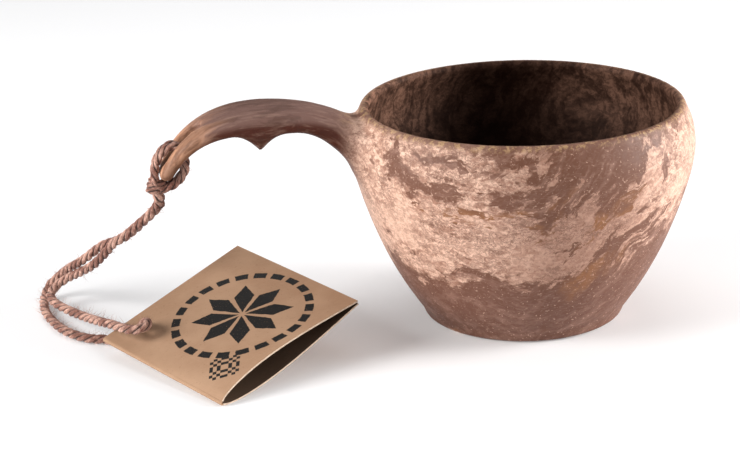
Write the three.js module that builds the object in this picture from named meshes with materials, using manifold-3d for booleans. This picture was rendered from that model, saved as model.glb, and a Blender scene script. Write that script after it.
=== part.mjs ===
// A moulded kuksa cup with a twine loop hitched through its handle and a folded card swing tag.
// Millimetres, +Z up. The origin is the centre of the cup's flat base and the handle points to -X.
import * as THREE from 'three';
import { LoftGeometry } from 'three/addons/geometries/LoftGeometry.js';
import { mergeVertices } from 'three/addons/utils/BufferGeometryUtils.js';
import Module from 'manifold-3d';

// Cup bowl
const cupHeight = 64;
const baseRadius = 28;
const baseCornerRadius = 2;
const bellyRadius = 50;
const bellyHeight = 52;
const rimMidRadius = 45.7;
const lipRadius = 1.45;
const wallThickness = 3;
const floorThickness = 4;
const bowlSides = 64;

// Handle
const handleRings = 44;
const handleRingPoints = 20;
const handleSquareness = 3.6;
const uprightUntilX = -52;
const leaningFromX = -62;
const spurX = -77.4;
const spurDrop = 5.2;
const spurReach = 8.5;
const tipRoundLength = 2.4;
const eyeWidth = 5;
const eyeTop = new THREE.Vector2(-91.8, 62.4);
const eyeEnd = new THREE.Vector2(-102.7, 52.2);

// Twine
const twineRadius = 1.4;
const twineSides = 8;
const loopHalfWidth = 2.15;
const loopHalfThickness = 1;
const hitchKnotCentre = [-106.9, 0.6, 47];
const hitchKnotSize = [4, 7, 4.2];
const joiningKnotCentre = [-114.2, -8.2, 2.6];
const joiningKnotSize = [6.4, 6.4, 5];

// Folded tag: its left fold corner, and how it lies
const tagSide = 52;
const cardThickness = 0.5;
const halfFoldGap = 0.2;
const tagCorner = [-124.8, -8.4, 5.2];
const tagYaw = THREE.MathUtils.degToRad(-56);
const tagFoldSlope = THREE.MathUtils.degToRad(4.6);
const tagTilt = THREE.MathUtils.degToRad(16.3);
const frontBulge = 3.3;
const backBulge = 2.8;
const bulgeSkew = 0.65;
const tagHoleRadius = 2.5;
const tagHoleAlongFold = 5.95;
const tagHoleFromFold = 8.9;

const wasm = await Module();
wasm.setup();

const composite = { color: 0xa07f6b, roughness: 0.62, metalness: 0 };
const twine = { color: 0xa8735c, roughness: 0.92, metalness: 0 };
const card = { color: 0xb99470, roughness: 0.85, metalness: 0 };

// Turn a closed three.js geometry into a manifold solid
function toSolid(geometry) {
  const bare = new THREE.BufferGeometry();
  bare.setAttribute('position', geometry.attributes.position);
  bare.setIndex(geometry.index);
  const merged = mergeVertices(bare, 1e-4);
  const vertProperties = new Float32Array(merged.attributes.position.array);
  const triVerts = new Uint32Array(merged.index.array);
  return new wasm.Manifold(new wasm.Mesh({ numProp: 3, vertProperties, triVerts }));
}

// Turn a manifold solid back into a three.js geometry
function toGeometry(solid) {
  const result = solid.getMesh();
  const geometry = new THREE.BufferGeometry();
  geometry.setAttribute('position', new THREE.BufferAttribute(result.vertProperties, 3));
  geometry.setIndex(new THREE.BufferAttribute(result.triVerts, 1));
  geometry.computeVertexNormals();
  return geometry;
}

function makeMesh(name, geometry, finish) {
  const mesh = new THREE.Mesh(geometry, new THREE.MeshStandardMaterial(finish));
  mesh.name = name;
  return mesh;
}

// Points of a quarter or half circle from one angle to another
function arcPoints(centreX, centreY, radius, startAngle, endAngle, count) {
  const points = [];
  for (let i = 0; i <= count; i += 1) {
    const angle = THREE.MathUtils.lerp(startAngle, endAngle, i / count);
    points.push(new THREE.Vector2(centreX + radius * Math.cos(angle), centreY + radius * Math.sin(angle)));
  }
  return points;
}

// Outer wall of the bowl, from the base corner up to the lip
function outerWallPoints(count) {
  const curve = new THREE.SplineCurve([
    new THREE.Vector2(baseRadius + 1.7, baseCornerRadius),
    new THREE.Vector2(35.1, 10.2),
    new THREE.Vector2(40, 19.2),
    new THREE.Vector2(44.1, 28.8),
    new THREE.Vector2(47.4, 38.4),
    new THREE.Vector2(49.4, 46),
    new THREE.Vector2(bellyRadius, bellyHeight),
    new THREE.Vector2(49.2, 57.8),
    new THREE.Vector2(rimMidRadius + lipRadius, cupHeight - lipRadius),
  ]);
  return curve.getPoints(count);
}

// Inner wall, from the lip down to the floor's centre
function innerWallPoints(count) {
  const curve = new THREE.SplineCurve([
    new THREE.Vector2(rimMidRadius - lipRadius, cupHeight - lipRadius),
    new THREE.Vector2(46.2, 57.6),
    new THREE.Vector2(bellyRadius - wallThickness, bellyHeight),
    new THREE.Vector2(44.9, 40),
    new THREE.Vector2(41.6, 30.6),
    new THREE.Vector2(37.2, 21.2),
    new THREE.Vector2(31.6, 12),
    new THREE.Vector2(25.4, 6.4),
    new THREE.Vector2(16, floorThickness + 0.3),
  ]);
  return curve.getPoints(count);
}

function makeBowlSolid() {
  const corner = arcPoints(baseRadius, baseCornerRadius, baseCornerRadius, -Math.PI / 2, -0.35, 4);
  const lip = arcPoints(rimMidRadius, cupHeight - lipRadius, lipRadius, 0, Math.PI, 6);
  const profile = [
    new THREE.Vector2(0, 0),
    ...corner,
    ...outerWallPoints(15),
    ...lip.slice(1, -1),
    ...innerWallPoints(13),
    new THREE.Vector2(0, floorThickness),
  ];
  const geometry = new THREE.LatheGeometry(profile, bowlSides);
  geometry.rotateX(Math.PI / 2);
  return toSolid(geometry);
}

// Everything the bowl's wall encloses, taken off the handle's root
function makeBowlCoreSolid() {
  const profile = [
    new THREE.Vector2(0, cupHeight + 5),
    new THREE.Vector2(rimMidRadius, cupHeight + 5),
    new THREE.Vector2(rimMidRadius, cupHeight - lipRadius),
    ...innerWallPoints(13).slice(1).map((p) => new THREE.Vector2(p.x + 1, p.y - 1)),
    new THREE.Vector2(0, floorThickness - 1),
  ].reverse();
  const geometry = new THREE.LatheGeometry(profile, bowlSides);
  geometry.rotateX(Math.PI / 2);
  return toSolid(geometry);
}

// Handle stations: place of the section's middle, half width, and half thickness above and below it
const handleStations = [
  { x: -40, z: 52, half: 20, up: 8.5, down: 13 },
  { x: -45, z: 53, half: 17, up: 8.3, down: 13 },
  { x: -48, z: 54, half: 13.5, up: 7.8, down: 11.5 },
  { x: -50, z: 56, half: 11.2, up: 6.5, down: 10 },
  { x: -52, z: 58.4, half: 9.8, up: 5, down: 8 },
  { x: -54.5, z: 60.4, half: 8.8, up: 4.2, down: 6.2 },
  { x: -58.5, z: 62.4, half: 8.4, up: 3.6, down: 4.3 },
  { x: -64, z: 64, half: 9.2, up: 3.4, down: 3.4 },
  { x: -71, z: 64.9, half: 10.7, up: 3.3, down: 3.5 },
  { x: -78, z: 65, half: 11.3, up: 3.3, down: 3.3 },
  { x: -85, z: 64.5, half: 10.9, up: 2.9, down: 2.8 },
  { x: -91, z: 62.9, half: 9.9, up: 2.5, down: 2.5 },
  { x: -95.5, z: 60.5, half: 8.8, up: 2.3, down: 2.3 },
  { x: -99, z: 57.6, half: 7.7, up: 2.2, down: 2.2 },
  { x: -101.8, z: 54, half: 6.4, up: 2.1, down: 2.1 },
  { x: -103.5, z: 51.2, half: 5.2, up: 2, down: 2 },
  { x: -104.5, z: 48.7, half: 4, up: 1.8, down: 1.8 },
];

function signedPower(value, power) {
  return Math.sign(value) * Math.abs(value) ** power;
}

// Rounded-rectangle sections swept along the handle, with the finger spur on the underside
function makeHandleSolid() {
  const path = new THREE.CatmullRomCurve3(handleStations.map((s) => new THREE.Vector3(s.x, 0, s.z)));
  const sizes = new THREE.CatmullRomCurve3(handleStations.map((s) => new THREE.Vector3(s.half, s.up, s.down)));
  const sections = [];
  for (let i = 0; i <= handleRings; i += 1) {
    const t = i / handleRings;
    const centre = path.getPoint(t);
    const size = sizes.getPoint(t);
    const tangent = path.getTangent(t);
    const lean = THREE.MathUtils.smoothstep(-centre.x, -uprightUntilX, -leaningFromX);
    const up = new THREE.Vector3(tangent.z * lean, 0, THREE.MathUtils.lerp(1, -tangent.x, lean)).normalize();
    const remaining = path.getPoint(1).distanceTo(centre);
    const rounding = Math.sqrt(1 - Math.max(0, 1 - (remaining + 0.15) / tipRoundLength) ** 2);
    const nearSpur = Math.max(0, 1 - Math.abs(centre.x - spurX) / spurReach);
    const down = size.z + spurDrop * nearSpur ** 2;
    const points = [];
    for (let j = 0; j < handleRingPoints; j += 1) {
      const angle = (-j / handleRingPoints) * Math.PI * 2;
      const across = signedPower(Math.cos(angle), 2 / handleSquareness) * size.x * rounding;
      const lift = signedPower(Math.sin(angle), 2 / handleSquareness);
      const rise = lift * (lift > 0 ? size.y : down) * rounding;
      const point = centre.clone().addScaledVector(up, rise);
      point.y += across;
      points.push(point);
    }
    sections.push(points);
  }
  return toSolid(new LoftGeometry(sections, { capStart: true, capEnd: true }));
}

// The long eye near the handle's tip, a stadium cut square to the handle there
function makeEyeSolid() {
  const along = eyeEnd.clone().sub(eyeTop);
  const straight = along.length() - eyeWidth;
  const radius = eyeWidth / 2;
  const shape = new THREE.Shape();
  shape.absarc(straight / 2, 0, radius, -Math.PI / 2, Math.PI / 2);
  shape.absarc(-straight / 2, 0, radius, Math.PI / 2, Math.PI * 1.5);
  const depth = 24;
  const geometry = new THREE.ExtrudeGeometry(shape, { depth, bevelEnabled: false, curveSegments: 8 });
  geometry.translate(0, 0, -depth / 2);
  geometry.rotateY(-Math.atan2(along.y, along.x));
  const middle = eyeTop.clone().add(eyeEnd).multiplyScalar(0.5);
  geometry.translate(middle.x, 0, middle.y);
  return toSolid(geometry);
}

function makeCup() {
  const handle = makeHandleSolid().subtract(makeBowlCoreSolid()).subtract(makeEyeSolid());
  return makeMesh('cup', toGeometry(makeBowlSolid().add(handle)), composite);
}

// A round or oval tube along hand-chosen route points
function tubeAlong(name, route, halfWidth, halfThickness, stepLength) {
  const path = new THREE.CatmullRomCurve3(route.map((p) => new THREE.Vector3(...p)), false, 'centripetal');
  const section = new THREE.Shape();
  section.absellipse(0, 0, halfWidth, halfThickness, 0, Math.PI * 2);
  const steps = Math.round(path.getLength() / stepLength);
  const geometry = new THREE.ExtrudeGeometry(section, {
    steps,
    curveSegments: twineSides,
    extrudePath: path,
  });
  return makeMesh(name, toGeometry(toSolid(geometry)), twine);
}

// Round the handle's tip: up from the hitch knot, over and down through the eye, back under the tip
const hitchLoopRoute = [
  [-106.9, 0, 49.4],
  [-106.9, 0, 51.6],
  [-106.3, 0, 54.2],
  [-104.9, 0, 56.6],
  [-102.9, 0, 58.3],
  [-100.9, 0, 58.6],
  [-99.3, 0, 57.2],
  [-98.3, 0, 54.8],
  [-98.1, 0, 52.4],
  [-98.9, 0, 50.2],
  [-100.4, 0, 48.4],
  [-102.3, 0, 47.1],
  [-104.5, 0, 46.4],
];

// The strand that crosses over the tag and drops through its hole
const overStrandRoute = [
  [-106.5, -1, 43.9],
  [-106.3, 0.6, 42.2],
  [-107.4, 3, 39.3],
  [-109.7, 4.9, 36.4],
  [-112.8, 7.8, 32.9],
  [-115.9, 10.5, 29.5],
  [-119.2, 13.3, 26.6],
  [-121.8, 17.5, 22.4],
  [-125.6, 22.6, 17],
  [-129.7, 28.4, 12.8],
  [-134, 34.6, 8.8],
  [-136.9, 35.8, 6.6],
  [-139.1, 33.3, 5],
  [-138.8, 28.4, 4.7],
  [-137.2, 23.7, 4.7],
  [-134.1, 17.8, 4.9],
  [-130.3, 9.8, 5.8],
  [-126, 0.6, 7.4],
  [-122.2, -7.9, 9.2],
  [-119.1, -13.5, 9.95],
  [-117.3, -15.8, 10.3],
  [-115.3, -16.9, 10.8],
  [-113.4, -16.1, 11.1],
  [-112.7, -14.1, 11.2],
  [-113.1, -12, 10.7],
  [-113.9, -10.1, 9.4],
  [-114.3, -8.9, 7.8],
  [-114.3, -8.7, 6.6],
  [-114.3, -8.6, 5.4],
];

// The strand that lies on the table and runs in under the tag
const underStrandRoute = [
  [-105.9, 3.8, 44.1],
  [-105.6, 5.8, 39.9],
  [-107.7, 7.5, 36.8],
  [-110.8, 10.4, 33.1],
  [-113.7, 13.1, 29.7],
  [-117, 15.9, 26.6],
  [-122.4, 22.6, 22.8],
  [-129, 28.9, 16.2],
  [-133, 36.1, 11.6],
  [-136.5, 41.2, 7.2],
  [-139.4, 42.6, 4],
  [-140.9, 40.4, 2],
  [-141.4, 34.9, 1.5],
  [-141, 26.7, 1.5],
  [-139.2, 19.2, 1.5],
  [-136.4, 11.6, 1.5],
  [-132.8, 6.1, 1.5],
  [-128.9, 2.5, 1.5],
  [-125.2, 0.8, 1.6],
  [-121.2, -1.8, 1.7],
  [-117.6, -5.2, 2.1],
];

// A rounded lump that stands for a knot
function makeKnot(name, centre, size) {
  const geometry = new THREE.SphereGeometry(0.5, 14, 10);
  geometry.scale(...size);
  geometry.translate(...centre);
  return makeMesh(name, toGeometry(toSolid(geometry)), twine);
}

// One leaf of the folded card: flat at the punched side, bowed at the open side
function makeLeaf(name, side, bulge) {
  const sections = [];
  const steps = 10;
  for (let i = 0; i <= steps; i += 1) {
    const alongFold = i / steps;
    const nearFace = [];
    const farFace = [];
    for (let j = 0; j <= steps; j += 1) {
      const fromFold = j / steps;
      const bow = bulge * alongFold ** 1.5 * Math.sin(Math.PI * fromFold ** bulgeSkew);
      const inner = side * (halfFoldGap + bow);
      nearFace.push(new THREE.Vector3(alongFold * tagSide, fromFold * tagSide, inner));
      farFace.push(new THREE.Vector3(alongFold * tagSide, fromFold * tagSide, inner + side * cardThickness));
    }
    const ring = [...farFace, ...nearFace.reverse()];
    sections.push(side > 0 ? ring.reverse() : ring);
  }
  const leaf = toSolid(new LoftGeometry(sections, { capStart: true, capEnd: true }));
  const punch = new THREE.CylinderGeometry(tagHoleRadius, tagHoleRadius, 10, 24);
  punch.rotateX(Math.PI / 2);
  punch.translate(tagHoleAlongFold, tagHoleFromFold, 0);
  return makeMesh(name, toGeometry(leaf.subtract(toSolid(punch))), card);
}

function makeTag() {
  const tag = new THREE.Group();
  tag.add(makeLeaf('tag_front_leaf', 1, frontBulge));
  tag.add(makeLeaf('tag_back_leaf', -1, backBulge));
  tag.rotation.set(tagTilt, tagFoldSlope, tagYaw, 'ZYX');
  tag.position.set(...tagCorner);
  return tag;
}

const kuksa = new THREE.Group();
kuksa.add(makeCup());
kuksa.add(tubeAlong('cord_hitch_loop', hitchLoopRoute, loopHalfWidth, loopHalfThickness, 2.2));
kuksa.add(makeKnot('cord_hitch_knot', hitchKnotCentre, hitchKnotSize));
kuksa.add(tubeAlong('cord_over_strand', overStrandRoute, twineRadius, twineRadius, 3.4));
kuksa.add(tubeAlong('cord_under_strand', underStrandRoute, twineRadius, twineRadius, 3.8));
kuksa.add(makeKnot('cord_joining_knot', joiningKnotCentre, joiningKnotSize));
kuksa.add(makeTag());

export default kuksa;
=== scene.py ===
import math
import random

import bmesh
import bpy
from mathutils import Matrix, Vector, noise


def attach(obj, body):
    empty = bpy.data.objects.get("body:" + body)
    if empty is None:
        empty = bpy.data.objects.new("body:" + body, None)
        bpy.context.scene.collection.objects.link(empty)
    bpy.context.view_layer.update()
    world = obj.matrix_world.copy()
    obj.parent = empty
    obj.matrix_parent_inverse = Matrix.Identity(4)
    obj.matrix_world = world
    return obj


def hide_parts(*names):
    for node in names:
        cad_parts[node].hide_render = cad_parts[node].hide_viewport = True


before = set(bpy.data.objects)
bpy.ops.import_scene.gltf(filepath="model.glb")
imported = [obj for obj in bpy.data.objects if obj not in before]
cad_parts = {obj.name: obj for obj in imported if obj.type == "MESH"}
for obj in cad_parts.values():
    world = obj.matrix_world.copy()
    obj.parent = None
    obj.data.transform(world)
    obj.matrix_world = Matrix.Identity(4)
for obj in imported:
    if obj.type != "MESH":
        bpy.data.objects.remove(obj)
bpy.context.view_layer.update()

mm = 0.001


# camera and studio
cameraSetup = {
    "place": (-0.13497, -0.54134, 0.22075),
    "right": (0.98432, -0.17355, -0.03156),
    "up": (0.08697, 0.32185, 0.94279),
    "lens": 96.99,
    "sensor": 36,
}


def addCamera(values):
    data = bpy.data.cameras.new("studioCamera")
    data.lens = values["lens"]
    data.sensor_width = values["sensor"]
    data.clip_start = 0.02
    camera = bpy.data.objects.new("studioCamera", data)
    bpy.context.scene.collection.objects.link(camera)
    right = Vector(values["right"]).normalized()
    up = Vector(values["up"])
    up = (up - right * up.dot(right)).normalized()
    back = right.cross(up)
    turn = Matrix((right, up, back)).transposed()
    camera.matrix_world = Matrix.Translation(values["place"]) @ turn.to_4x4()
    bpy.context.scene.camera = camera


addCamera(cameraSetup)

studio = {
    "worldStrength": 0.24,
    "worldColor": (1.0, 1.0, 1.0),
    "floorColor": (0.76, 0.76, 0.77),
    "floorGlow": 0.2,
    "floorSize": 6.0,
    "lights": [
        # name, place, aimed at, width, height, watts, colour
        ("leftPanel", (-0.92, -0.16, 0.38), (-0.02, 0, 0.04), 0.45, 0.6, 12, (1.0, 0.99, 0.975)),
        ("rightPanel", (0.9, -0.16, 0.28), (0.02, 0, 0.035), 0.4, 0.6, 16, (1.0, 0.99, 0.98)),
        ("topPanel", (-0.02, 0.3, 0.95), (-0.03, 0, 0.03), 0.8, 0.8, 3, (0.97, 0.985, 1.0)),
    ],
}


def addStudio(values):
    world = bpy.data.worlds.new("studioWorld")
    bpy.context.scene.world = world
    world.use_nodes = True
    background = world.node_tree.nodes["Background"]
    background.inputs["Color"].default_value = (*values["worldColor"], 1)
    background.inputs["Strength"].default_value = values["worldStrength"]
    for name, place, aim, width, height, watts, color in values["lights"]:
        data = bpy.data.lights.new(name, "AREA")
        data.shape = "RECTANGLE"
        data.size = width
        data.size_y = height
        data.energy = watts
        data.color = color
        lamp = bpy.data.objects.new(name, data)
        lamp.location = place
        lamp.rotation_euler = (Vector(aim) - Vector(place)).to_track_quat("-Z", "Y").to_euler()
        bpy.context.scene.collection.objects.link(lamp)
    bpy.context.scene.view_settings.view_transform = "Standard"


addStudio(studio)
print("camera and lights placed")


# Centripetal curve through points, t from 0 to 1
def curvePoint(points, t):
    last = len(points) - 1
    place = min(max(t, 0.0), 1.0) * last
    i = min(int(place), last - 1)
    w = place - i
    p1, p2 = points[i], points[i + 1]
    p0 = points[i - 1] if i > 0 else p1 * 2 - p2
    p3 = points[i + 2] if i + 2 <= last else p2 * 2 - p1
    d0 = max((p1 - p0).length, 1e-9) ** 0.5
    d1 = max((p2 - p1).length, 1e-9) ** 0.5
    d2 = max((p3 - p2).length, 1e-9) ** 0.5
    m1 = ((p1 - p0) / d0 - (p2 - p0) / (d0 + d1) + (p2 - p1) / d1) * d1
    m2 = ((p2 - p1) / d1 - (p3 - p1) / (d1 + d2) + (p3 - p2) / d2) * d1
    a = (p1 - p2) * 2 + m1 + m2
    b = (p2 - p1) * 3 - m1 * 2 - m2
    return a * w ** 3 + b * w ** 2 + m1 * w + p1


# Points along the curve about one step apart
def evenPoints(points, step):
    fine = [curvePoint(points, k / (len(points) * 40)) for k in range(len(points) * 40 + 1)]
    lengths = [0.0]
    for a, b in zip(fine, fine[1:]):
        lengths.append(lengths[-1] + (b - a).length)
    count = max(2, round(lengths[-1] / step))
    result = []
    j = 0
    for k in range(count + 1):
        target = lengths[-1] * k / count
        while j < len(fine) - 2 and lengths[j + 1] < target:
            j += 1
        gap = lengths[j + 1] - lengths[j]
        share = (target - lengths[j]) / gap if gap > 0 else 0
        result.append(fine[j].lerp(fine[j + 1], min(max(share, 0), 1)))
    return result, lengths[-1]


# A sideways pair of directions at each point, carried along without twist
def carriedFrames(points):
    frames = []
    tangents = []
    for i in range(len(points)):
        a = points[max(0, i - 1)]
        b = points[min(len(points) - 1, i + 1)]
        tangents.append((b - a).normalized())
    side = tangents[0].cross(Vector((0, 1, 0)))
    if side.length < 0.2:
        side = tangents[0].cross(Vector((1, 0, 0)))
    side.normalize()
    for t in tangents:
        side = (side - t * side.dot(t)).normalized()
        frames.append((side.copy(), t.cross(side).normalized(), t))
    return frames


def finishObject(name, mesh):
    obj = bpy.data.objects.new(name, mesh)
    bpy.context.scene.collection.objects.link(obj)
    return obj


def pickOnly(obj):
    bpy.ops.object.select_all(action="DESELECT")
    obj.select_set(True)
    bpy.context.view_layer.objects.active = obj


# twine
twine = {
    "diameter": 2.8 * mm,
    "plies": 3,
    "pitch": 9.5 * mm,        # one full turn of a ply
    "plyShare": 0.57,         # of the twine's radius
    "plySides": 8,
    "plySwell": 0.06,         # how much the plies stray from the centre line
    "plyWobble": 0.09,        # how uneven their surface is
    "plyEndSize": 0.72,
    "step": 0.4 * mm,
    "hairCount": 1100,
    "hairLength": (1.0 * mm, 3.0 * mm),
    "hairsRiseBelow": 13 * mm,
    "hairLean": 1.6,          # along the twine, against 1 straight out
    "hairBend": 0.7,
    "hairRadius": 0.045 * mm,
    "seed": 11,
}


def toMetres(rows):
    return [Vector(row) * mm for row in rows]


hitchLoopRoute = toMetres([
    (-107, 0, 47.4), (-107, 0, 49.4), (-106.9, 0, 51.6), (-106.3, 0, 54.2), (-104.9, 0, 56.6),
    (-102.9, 0, 58.3), (-100.9, 0, 58.6), (-99.3, 0, 57.2), (-98.3, 0, 54.8), (-98.1, 0, 52.4),
    (-98.9, 0, 50.2), (-100.4, 0, 48.4), (-102.3, 0, 47.1), (-104.5, 0, 46.4), (-106, 0, 46.3),
])
overStrandRoute = toMetres([
    (-106.8, -1.3, 46.4), (-106.6, -1.1, 45), (-106.5, -1, 43.9), (-106.3, 0.6, 42.2),
    (-107.4, 3, 39.3), (-109.7, 4.9, 36.4), (-112.8, 7.8, 32.9), (-115.9, 10.5, 29.5),
    (-119.2, 13.3, 26.6), (-121.8, 17.5, 22.4), (-125.6, 22.6, 17), (-129.7, 28.4, 12.8),
    (-134, 34.6, 8.8), (-136.9, 35.8, 6.6), (-139.1, 33.3, 5), (-138.8, 28.4, 4.7), (-137.2, 23.7, 4.7),
    (-134.1, 17.8, 4.9), (-130.3, 9.8, 5.8), (-126, 0.6, 7.4), (-122.2, -7.9, 9.2),
    (-119.1, -13.5, 9.95), (-117.3, -15.8, 10.3), (-115.3, -16.9, 10.8), (-113.4, -16.1, 11.1),
    (-112.7, -14.1, 11.2), (-113.1, -12, 10.7), (-113.9, -10.1, 9.4), (-114.3, -8.9, 7.8),
    (-114.3, -8.7, 6.6), (-114.3, -8.6, 5.4),
])
underStrandRoute = toMetres([
    (-106.4, 2.4, 46.6), (-106.1, 3.2, 45.4), (-105.9, 3.8, 44.1), (-105.6, 5.8, 39.9),
    (-107.7, 7.5, 36.8), (-110.8, 10.4, 33.1), (-113.7, 13.1, 29.7), (-117, 15.9, 26.6),
    (-122.4, 22.6, 22.8), (-129, 28.9, 16.2), (-133, 36.1, 11.6), (-136.5, 41.2, 7.2),
    (-139.4, 42.6, 4), (-140.9, 40.4, 2), (-141.4, 34.9, 1.5), (-141, 26.7, 1.5), (-139.2, 19.2, 1.5),
    (-136.4, 11.6, 1.5), (-132.8, 6.1, 1.5), (-128.9, 2.5, 1.5), (-125.2, 0.8, 1.6),
    (-121.2, -1.8, 1.7), (-117.6, -5.2, 2.1),
])


# One ply wound round the centre line, as a closed tube
def addPly(bm, layers, centres, frames, radius, offset, startAngle, pitch, step, values):
    uvLayer, depthLayer = layers
    sides = values["plySides"]
    path = []
    for i, (centre, (side, up, along)) in enumerate(zip(centres, frames)):
        angle = startAngle - 2 * math.pi * i * step / pitch
        swell = 1 + values["plySwell"] * noise.noise(centre * 700 + Vector((startAngle, 0, 0)))
        path.append(centre + (side * math.cos(angle) + up * math.sin(angle)) * offset * swell)
    rings = []
    for i, (point, (side, up, along)) in enumerate(zip(path, carriedFrames(path))):
        end = min(i, len(path) - 1 - i)
        size = radius * (values["plyEndSize"] if end == 0 else 1)
        ring = []
        for k in range(sides):
            angle = 2 * math.pi * k / sides
            wobble = 1 + values["plyWobble"] * noise.noise(point * 1500 + Vector((k, startAngle, 0)))
            spot = point + (side * math.cos(angle) + up * math.sin(angle)) * size * wobble
            vert = bm.verts.new(spot)
            vert[depthLayer] = (spot - centres[i]).length / (offset + radius)
            ring.append(vert)
        rings.append(ring)
    for i, (a, b) in enumerate(zip(rings, rings[1:])):
        for k in range(sides):
            n = (k + 1) % sides
            face = bm.faces.new((a[k], a[n], b[n], b[k]))
            face.smooth = True
            lengths = (i, i, i + 1, i + 1)
            turns = (k, k + 1, k + 1, k)
            for loop, length, turn in zip(face.loops, lengths, turns):
                loop[uvLayer].uv = (length * step / mm, turn / sides + startAngle)
    bm.faces.new(list(reversed(rings[0])))
    bm.faces.new(rings[-1])


# Twisted twine along one or more routes, in one mesh, with the first route's path and length
def makeTwine(name, routes, values, width=1.0):
    mesh = bpy.data.meshes.new(name)
    bm = bmesh.new()
    uvLayer = bm.loops.layers.uv.new("strand")
    depthLayer = bm.verts.layers.float.new("depth")
    radius = values["diameter"] / 2 * width
    firstPath = None
    total = 0
    for route, phase in routes:
        centres, length = evenPoints(route, values["step"])
        step = length / (len(centres) - 1)
        frames = carriedFrames(centres)
        plyRadius = radius * values["plyShare"]
        for ply in range(values["plies"]):
            angle = phase + 2 * math.pi * ply / values["plies"]
            addPly(bm, (uvLayer, depthLayer), centres, frames, plyRadius, radius - plyRadius * 0.98,
                   angle, values["pitch"] * width, step, values)
        if firstPath is None:
            firstPath, total = centres, length
    bmesh.ops.recalc_face_normals(bm, faces=bm.faces)
    bm.to_mesh(mesh)
    bm.free()
    return finishObject(name, mesh), firstPath, total


overStrand, overPath, overLength = makeTwine("twine_over_strand", [(overStrandRoute, 0.3)], twine)
underStrand, underPath, underLength = makeTwine("twine_under_strand", [(underStrandRoute, 1.5)], twine)


def sideShifted(route, shift):
    return [p + Vector((0, shift, 0)) for p in route]


loopShift = 1.08 * mm
hitchLoop, loopPath = makeTwine(
    "twine_hitch_loop",
    [(sideShifted(hitchLoopRoute, -loopShift), 0.2), (sideShifted(hitchLoopRoute, loopShift), 1.1)],
    twine, width=0.9)[:2]

hitchKnot = {
    "centre": Vector((-106.7, 0.8, 46.9)) * mm,
    "radius": 1.8 * mm,
    "turns": 2.6,
    "rise": 3.6 * mm,
    "axis": (0.42, 0.1, 0.9),
    "flatten": 1.25,          # wider to the sides
}
joiningKnot = {"centre": Vector((-114.2, -8.2, 2.7)) * mm, "radius": 1.9 * mm}


# Turns of twine round a leaning axis
def wrapRoute(values, count=26):
    axis = Vector(values["axis"]).normalized()
    side = axis.cross(Vector((0, 1, 0))).normalized()
    other = axis.cross(side)
    points = []
    for i in range(count + 1):
        t = i / count
        angle = 2 * math.pi * values["turns"] * t
        around = side * math.cos(angle) + other * math.sin(angle) * values["flatten"]
        points.append(values["centre"] + axis * values["rise"] * (t - 0.5) + around * values["radius"])
    return points


# A pulled-tight overhand knot
def overhandRoute(centre, radius, count=40):
    points = []
    for i in range(count + 1):
        t = 2 * math.pi * (0.04 + 0.92 * i / count)
        points.append(centre + Vector((
            (math.sin(t) + 2 * math.sin(2 * t)) / 2.6,
            (math.cos(t) - 2 * math.cos(2 * t)) / 2.6,
            -math.sin(3 * t) * 0.75)) * radius)
    return points


hitchWrap = makeTwine("twine_hitch_knot", [(wrapRoute(hitchKnot), 0.0)], twine, width=0.72)[0]
joinKnot = makeTwine(
    "twine_joining_knot",
    [(overhandRoute(joiningKnot["centre"], joiningKnot["radius"]), 0.4)],
    twine, width=0.75)[0]


# Loose fibre ends that stand off the twine, each a thin closed spike
def makeHairs(name, paths, values):
    rng = random.Random(values["seed"])
    bm = bmesh.new()
    depthLayer = bm.verts.layers.float.new("depth")
    spots = [(path, i) for path in paths for i in range(4, len(path) - 4)]
    for _ in range(values["hairCount"]):
        path, i = rng.choice(spots)
        centre = path[i]
        along = (path[i + 1] - path[i - 1]).normalized()
        out = along.orthogonal().normalized()
        out = Matrix.Rotation(rng.uniform(0, 2 * math.pi), 3, along) @ out
        if centre.z < values["hairsRiseBelow"]:
            out.z = abs(out.z)
        length = rng.uniform(*values["hairLength"])
        most, curl = values["hairLean"], values["hairBend"]
        lean = along * rng.uniform(-most, most) + out * rng.uniform(0.45, 1.0)
        bend = along * rng.uniform(-curl, curl) + along.cross(out) * rng.uniform(-curl, curl)
        if centre.z < values["hairsRiseBelow"]:
            lean.z = abs(lean.z)
            bend.z = abs(bend.z)
        start = centre + out * values["diameter"] * 0.4
        rings = []
        for k in range(4):
            t = k / 3
            point = start + (lean.normalized() * t + bend * t * t * 0.6) * length
            thick = values["hairRadius"] * (1 - 0.8 * t)
            ring = []
            for corner in range(3):
                angle = 2 * math.pi * corner / 3
                ring.append(bm.verts.new(point + (out.cross(lean).normalized() * math.cos(angle)
                                                  + along * math.sin(angle)) * thick))
            rings.append(ring)
        for a, b in zip(rings, rings[1:]):
            for corner in range(3):
                n = (corner + 1) % 3
                bm.faces.new((a[corner], a[n], b[n], b[corner]))
        bm.faces.new(list(reversed(rings[0])))
        bm.faces.new(rings[-1])
    for vert in bm.verts:
        vert[depthLayer] = 1.0
    bmesh.ops.recalc_face_normals(bm, faces=bm.faces)
    mesh = bpy.data.meshes.new(name)
    bm.to_mesh(mesh)
    bm.free()
    return finishObject(name, mesh)


hairs = makeHairs("twine_hairs", [overPath, underPath, overPath, underPath, loopPath], twine)


twinePieces = [overStrand, underStrand, hitchLoop, hitchWrap, joinKnot, hairs]
for piece in twinePieces:
    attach(piece, "cup_and_twine")
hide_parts("cord_over_strand")
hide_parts("cord_under_strand")
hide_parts("cord_hitch_loop")
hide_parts("cord_hitch_knot")
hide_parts("cord_joining_knot")
print("twine laid: over strand %.0f mm, under strand %.0f mm" % (overLength / mm, underLength / mm))


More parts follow.
